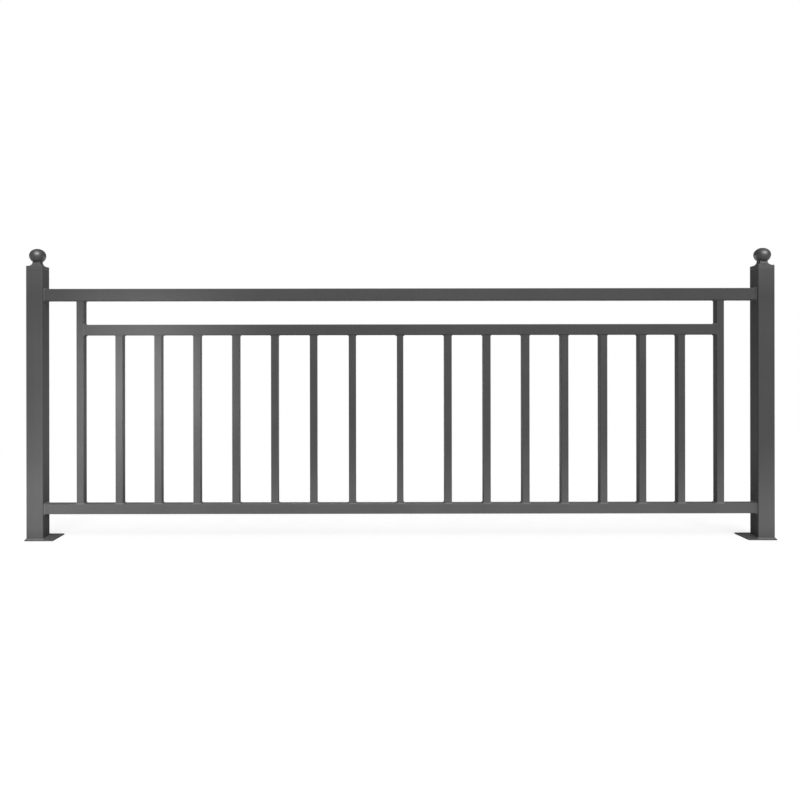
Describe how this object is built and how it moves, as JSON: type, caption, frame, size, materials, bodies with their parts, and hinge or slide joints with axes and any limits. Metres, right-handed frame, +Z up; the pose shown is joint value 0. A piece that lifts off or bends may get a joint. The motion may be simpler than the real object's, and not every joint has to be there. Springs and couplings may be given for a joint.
{
  "type": "road median guardrail bay",
  "caption": "Dark grey steel railing bay with ball-capped square posts on base plates, long level rails and upright square bars.",
  "frame": {"origin": "underside of the left base plate, on the axis of the left post", "axes": "+X along the bay to the right post, +Y to the back, +Z up"},
  "size_m": [2.67, 0.108, 1.041],
  "materials": {
    "powder_coated_steel": "satin charcoal powder coat"
  },
  "bodies": {
    "root": {"left_post": "powder_coated_steel", "right_post": "powder_coated_steel", "left_base_plate": "powder_coated_steel", "right_base_plate": "powder_coated_steel", "left_post_cap": "powder_coated_steel", "right_post_cap": "powder_coated_steel", "left_ball_finial": "powder_coated_steel", "right_ball_finial": "powder_coated_steel", "top_rail": "powder_coated_steel", "second_rail": "powder_coated_steel", "bottom_rail": "powder_coated_steel", "left_stile": "powder_coated_steel", "right_stile": "powder_coated_steel", "baluster_01": "powder_coated_steel", "baluster_02": "powder_coated_steel", "baluster_03": "powder_coated_steel", "baluster_04": "powder_coated_steel", "baluster_05": "powder_coated_steel", "baluster_06": "powder_coated_steel", "baluster_07": "powder_coated_steel", "baluster_08": "powder_coated_steel", "baluster_09": "powder_coated_steel", "baluster_10": "powder_coated_steel", "baluster_11": "powder_coated_steel", "baluster_12": "powder_coated_steel", "baluster_13": "powder_coated_steel", "baluster_14": "powder_coated_steel", "baluster_15": "powder_coated_steel"}
  },
  "joints": []
}
